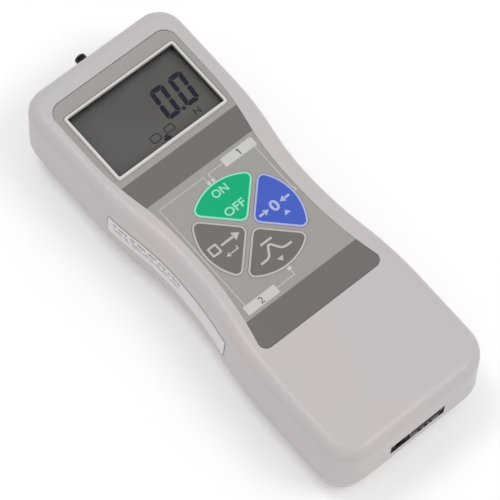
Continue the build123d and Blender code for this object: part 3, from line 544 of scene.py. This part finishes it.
# a box with an arrow out of it, and a thin arrow back
sendMarks = {"middleY": 0.75, "left": -17.3, "right": -4.6, "box": 3.9, "boxRadius": 0.6, "boxLine": 0.75,
             "boxGap": 0.9, "head": 2.6, "half": 1.7, "backLine": 0.45, "backTip": (-13.7, -3.5),
             "backPath": [(-8.7, -2.3), (-8.7, -3.5), (-12.2, -3.5)], "backHead": (1.6, 0.9)}
y, left, right, head = [sendMarks[key] for key in ("middleY", "left", "right", "head")]
boxRight, boxHalf = left + sendMarks["box"], sendMarks["box"] / 2
outlines = [
    strokeOutline([(boxRight + sendMarks["boxGap"], y), (right - head + overlap, y)], stroke),
    arrowHead((right, y), head, sendMarks["half"], (1, 0)),
    strokeOutline(sendMarks["backPath"], sendMarks["backLine"]),
    arrowHead(sendMarks["backTip"], *sendMarks["backHead"], (-1, 0)),
]
shapes = [inkPlate(outline, *inkHeights) for outline in outlines]
shapes.append(roundedFrame(left, boxRight, y - boxHalf, y + boxHalf, sendMarks["boxRadius"],
                           sendMarks["boxLine"], *inkHeights))
addMark("sendArrow", shapes, "send")

# the bell curve of a rising and falling force: its height is e to the minus square of the distance, measured
# in hills; the bar above it marks the peak
peakMarks = {"baseY": -12.9, "topY": -9.0, "reach": 6.6, "hill": 2.0, "steps": 33, "barX": (-2.4, 2.4),
             "barY": -7.5, "lowTip": (0.0, -16.4)}
x = np.linspace(-peakMarks["reach"], peakMarks["reach"], peakMarks["steps"])
rise = peakMarks["topY"] - peakMarks["baseY"]
curve = np.c_[x, peakMarks["baseY"] + rise * np.exp(-(x / peakMarks["hill"]) ** 2)]
outlines = [
    strokeOutline(curve, stroke),
    strokeOutline([(barX, peakMarks["barY"]) for barX in peakMarks["barX"]], stroke),
    arrowHead(peakMarks["lowTip"], *lowHead, (0, -1)),
]
addMark("peakCurve", [inkPlate(outline, *inkHeights) for outline in outlines], "peak")
print("key marks")

# leader lines from the keys to two caption boxes, with small tabs at the keys
panelPrint = {
    "sunk": 0.01, "proud": 0.012, "line": 0.25,
    "leaders": [
        [(-20.05, 23.65), (-1.0, 23.65), (-1.0, 21.5)],
        [(-20.2, 23.5), (-20.2, -20.9)],
        [(1.0, 21.5), (1.0, 23.68), (7.6, 23.68)],
        [(19.8, 21.9), (19.8, 0.98)],
        [(-0.2, -20.3), (-0.2, -22.5), (-8.0, -22.5)],
    ],
    "tabs": [(-1.5, -0.35, 20.2, 21.6), (0.35, 1.5, 20.2, 21.6), (-0.85, 0.55, -20.45, -19.05)],
    "boxes": [(7.53, 21.03, 21.79, 25.45), (-21.4, -7.97, -24.37, -20.83)], "corner": 0.15,
    "zeroTip": (18.9, 0.9), "zeroHead": (1.7, 0.95), "zeroAlong": (-0.94, -0.34),
}
filmTop = boxOf("panel_overlay")[1][2]
panelHeights = (filmTop - panelPrint["sunk"], filmTop + panelPrint["proud"])
shapes = [inkPlate(strokeOutline(path, panelPrint["line"]), *panelHeights) for path in panelPrint["leaders"]]
addPiece("panelLines", joinShapes(shapes), paleInk, "case")
patches = [roundedBox(*limits, panelPrint["corner"]) for limits in panelPrint["tabs"] + panelPrint["boxes"]]
patches.append(arrowHead(panelPrint["zeroTip"], *panelPrint["zeroHead"], panelPrint["zeroAlong"]))
addPiece("panelBoxes", joinShapes([inkPlate(patch, *panelHeights) for patch in patches]), paleInk, "case")

# the figures in the caption boxes; the figure one is an upright bar with a slanted flag at its head
boxFigures = {
    "sunk": 0.005, "proud": 0.01, "oneFoot": (14.3, 22.4),
    "one": [(0, 0), (0.42, 0), (0.42, 2.5), (0.1, 2.5), (-0.6, 2.0), (-0.42, 1.68), (0, 1.95)],
    "two": (-15.6, -13.9, -23.8, -21.4),
}
digitHeights = (panelHeights[1] - boxFigures["sunk"], panelHeights[1] + boxFigures["proud"])
figureOne = inkPlate(np.array(boxFigures["one"]) + boxFigures["oneFoot"], *digitHeights)
figureTwo = letterShape("2", boxFigures["two"], *digitHeights)
addPiece("boxDigits", joinShapes([figureOne, figureTwo]), darkInk, "case")
print("panel print")

display = {"digitX": (4.7, 12.75), "digitWidth": 5.85, "lowY": 48.5, "highY": 61.35,
           "stroke": 1.75, "chamfer": 1.1, "gap": 0.06, "middleGap": 0.12, "taper": 0.4, "slantDegrees": 5.4,
           "point": (11.0, 12.35, 48.5, 49.8, 0.3), "unit": (13.3, 15.8, 44.3, 46.8), "unitBold": 0.02,
           "frames": [(-5.1, -0.9, 44.7, 48.0, 1.3), (1.0, 5.0, 44.9, 47.8, 0.6)], "frameLine": 0.5,
           "icons": [(-1.0, 1.6, 43.3, 44.4, 0.3), (-0.3, 1.0, 44.5, 45.2, 0.2)]}
glassTop = boxOf("lcd_glass")[1][2]
lcdHeights = (glassTop - inkSet["sunk"], glassTop + inkSet["proud"])


def segmentPlates(x0, x1, y0, y1):
    # the six outer bars of a digit with cut corners: two bars meet on the corner's bisector, a gap apart,
    # and the upright bars narrow at half height; one flat and one upright bar are mirrored about the middle
    stroke, cut, gap = display["stroke"], display["chamfer"], display["gap"]
    low, taper = display["middleGap"], display["taper"]
    middle = np.array([(x0 + x1) / 2, (y0 + y1) / 2])
    across, up = (x1 - x0) / 2, (y1 - y0) / 2
    half = np.array([(across - stroke - 2 * gap, up - stroke), (across - cut / 2 - gap, up - cut / 2 + gap),
                     (across - cut, up)])
    flat = np.vstack([half[::-1] * [-1, 1], half])
    side = np.array([(across, up - cut), (across - cut / 2 + gap, up - cut / 2 - gap),
                     (across - stroke, up - stroke - 2 * gap), (across - stroke, low + taper),
                     (across - stroke / 2, low), (across, low + taper)])
    plates = [flat, flat[::-1] * [1, -1]]
    plates += [side, side[::-1] * [-1, 1], side[::-1] * [1, -1], side * [-1, -1]]
    return [plate + middle for plate in plates]


def slanted(outline):
    # leans to the right in proportion to the height above the foot of the digits
    outline = np.asarray(outline, float).copy()
    outline[:, 0] += (outline[:, 1] - display["lowY"]) * math.tan(math.radians(display["slantDegrees"]))
    return outline


shapes = []
for x0 in display["digitX"]:
    for plate in segmentPlates(x0, x0 + display["digitWidth"], display["lowY"], display["highY"]):
        shapes.append(inkPlate(slanted(plate), *lcdHeights))
shapes.append(inkPlate(roundedBox(*display["point"]), *lcdHeights))
addPiece("lcdDigits", joinShapes(shapes), finishes["segmentInk"], "case")
unit = letterShape("N", display["unit"], *lcdHeights, display["unitBold"])
addPiece("lcdUnit", unit, finishes["faintInk"], "case")
shapes = [roundedFrame(*limits, display["frameLine"], *lcdHeights) for limits in display["frames"]]
addPiece("lcdFrames", joinShapes(shapes), finishes["faintInk"], "case")
shapes = [inkPlate(roundedBox(*limits), *lcdHeights) for limits in display["icons"]]
addPiece("lcdIcons", joinShapes(shapes), finishes["markInk"], "case")
print("display")

thread = {"radius": 1.98, "root": 0.1, "crest": 0.24, "pitch": 0.7, "length": 3.9, "tipBare": 0.4,
          "halfWidth": 0.3, "steps": 40}


def threadRidge():
    # a three-sided ridge carried along a helix about the stem's axis: the advance grows with the angle, and
    # the crest swells from the root to its full height over a quarter turn at each end
    low, high = boxOf("measuring_stem")
    startY = high[1] - thread["tipBare"] - thread["length"]
    centreZ = (low[2] + high[2]) / 2
    turns = thread["length"] / thread["pitch"]
    count = int(turns * thread["steps"]) + 1
    angle = np.linspace(0, turns * 2 * math.pi, count)
    swell = np.clip(np.minimum(angle, angle[-1] - angle) / (math.pi / 2), 0, 1)
    root = np.full(count, -thread["root"])
    crest = thread["crest"] * swell - thread["root"] * (1 - swell)
    reach = thread["radius"] + np.stack([root, crest, root], 1)
    advance = startY + thread["pitch"] * angle / (2 * math.pi)
    along = advance[:, None] + np.array([-1, 0, 1]) * thread["halfWidth"]
    across = reach * np.cos(angle)[:, None]
    height = centreZ + reach * np.sin(angle)[:, None]
    points = np.stack([across, along, height], 2)
    here = np.arange(count - 1)[:, None] * 3
    side = np.arange(3)
    after = (side + 1) % 3
    quads = np.stack([here + side, here + after, here + after + 3, here + side + 3], 2).reshape(-1, 4)
    caps = [[2, 1, 0], [3 * count - 3, 3 * count - 2, 3 * count - 1]]
    return points.reshape(-1, 3), quads.tolist() + caps


# the ridge is drawn in the lighter metal: a painted glint along the thread's crests
addPiece("stemThread", threadRidge(), finishes["glintCrestMetal"], "stem")
print("stem thread")


def directRay(tree, secondKind):
    # 1 for a camera ray or a ray of a second kind, and 0 for a ray that only carries light
    rays = addNode(tree, "ShaderNodeLightPath")
    seen = addNode(tree, "ShaderNodeMath", operation="MAXIMUM")
    tree.links.new(rays.outputs["Is Camera Ray"], seen.inputs[0])
    tree.links.new(rays.outputs[secondKind], seen.inputs[1])
    return seen.outputs[0]


# a matt floor, lifted a little where it is seen so that it meets the sky's white
floorSet = {"reach": 3.0, "level": -0.00002, "grey": 0.93, "lift": 0.12}
reach, level = floorSet["reach"], floorSet["level"]
corners = [(-reach, -reach, level), (reach, -reach, level), (reach, reach, level), (-reach, reach, level)]
floorMesh = bpy.data.meshes.new("floor")
floorMesh.from_pydata(corners, [], [(0, 1, 2, 3)])
floor = bpy.data.objects.new("floor", floorMesh)
scene.collection.objects.link(floor)
floorPaint = bpy.data.materials.new("floorPaint")
floorPaint.use_nodes = True
tree = floorPaint.node_tree
tree.nodes.remove(tree.nodes["Principled BSDF"])
matt = addNode(tree, "ShaderNodeBsdfDiffuse")
matt.inputs["Color"].default_value = (*[floorSet["grey"]] * 3, 1)
lift = addNode(tree, "ShaderNodeMath", operation="MULTIPLY")
lift.inputs[1].default_value = floorSet["lift"]
tree.links.new(directRay(tree, "Is Glossy Ray"), lift.inputs[0])
glow = addNode(tree, "ShaderNodeEmission")
tree.links.new(lift.outputs[0], glow.inputs["Strength"])
both = addNode(tree, "ShaderNodeAddShader")
tree.links.new(matt.outputs[0], both.inputs[0])
tree.links.new(glow.outputs[0], both.inputs[1])
tree.links.new(both.outputs[0], tree.nodes["Material Output"].inputs["Surface"])
floorMesh.materials.append(floorPaint)

# a white sky, which lights the object less strongly than it is seen
skySet = {"strength": 0.7, "seenStrength": 1.0}
world = bpy.data.worlds.new("studio")
scene.world = world
world.use_nodes = True
tree = world.node_tree
sky = tree.nodes["Background"]
sky.inputs["Color"].default_value = (1, 1, 1, 1)
strength = addNode(tree, "ShaderNodeMapRange")
strength.inputs["To Min"].default_value = skySet["strength"]
strength.inputs["To Max"].default_value = skySet["seenStrength"]
tree.links.new(directRay(tree, "Is Transmission Ray"), strength.inputs["Value"])
tree.links.new(strength.outputs["Result"], sky.inputs["Strength"])

lamps = {
    "footLamp": {"at": (0.51, -0.75, 1.5), "size": 0.75, "power": 5.6},
    "sideLamp": {"at": (-0.19, 0.51, 1.66), "size": 0.5, "power": 4.5},
}
for name, lamp in lamps.items():
    light = bpy.data.lights.new(name, "AREA")
    light.shape = "DISK"
    light.size = lamp["size"]
    light.energy = lamp["power"]
    holder = bpy.data.objects.new(name, light)
    scene.collection.objects.link(holder)
    holder.location = lamp["at"]
    holder.rotation_euler = (-Vector(lamp["at"])).to_track_quat("-Z", "Y").to_euler()

# the camera looks at its target from an azimuth and an elevation, and then rolls about that line
cameraSet = {"azimuth": -44.91, "elevation": 65.88, "roll": 5.23, "distance": 1.063539,
             "target": (-0.006055, -0.00649, 0.036), "lens": 231.037, "sensor": 36, "clip": (0.05, 20)}
azimuth, elevation, roll = [math.radians(cameraSet[key]) for key in ("azimuth", "elevation", "roll")]
backward = Vector((math.sin(azimuth) * math.cos(elevation), -math.cos(azimuth) * math.cos(elevation),
                   math.sin(elevation)))
sideways = Vector((math.cos(azimuth), math.sin(azimuth), 0))
upward = backward.cross(sideways)
rolledSideways = sideways * math.cos(roll) + upward * math.sin(roll)
rolledUpward = upward * math.cos(roll) - sideways * math.sin(roll)
cameraData = bpy.data.cameras.new("camera")
cameraData.lens = cameraSet["lens"]
cameraData.sensor_width = cameraSet["sensor"]
cameraData.clip_start, cameraData.clip_end = cameraSet["clip"]
camera = bpy.data.objects.new("camera", cameraData)
scene.collection.objects.link(camera)
place = Vector(cameraSet["target"]) + backward * cameraSet["distance"]
turn = Matrix((rolledSideways, rolledUpward, backward)).transposed().to_4x4()
camera.matrix_world = Matrix.Translation(place) @ turn
scene.camera = camera
print("floor, light and camera")
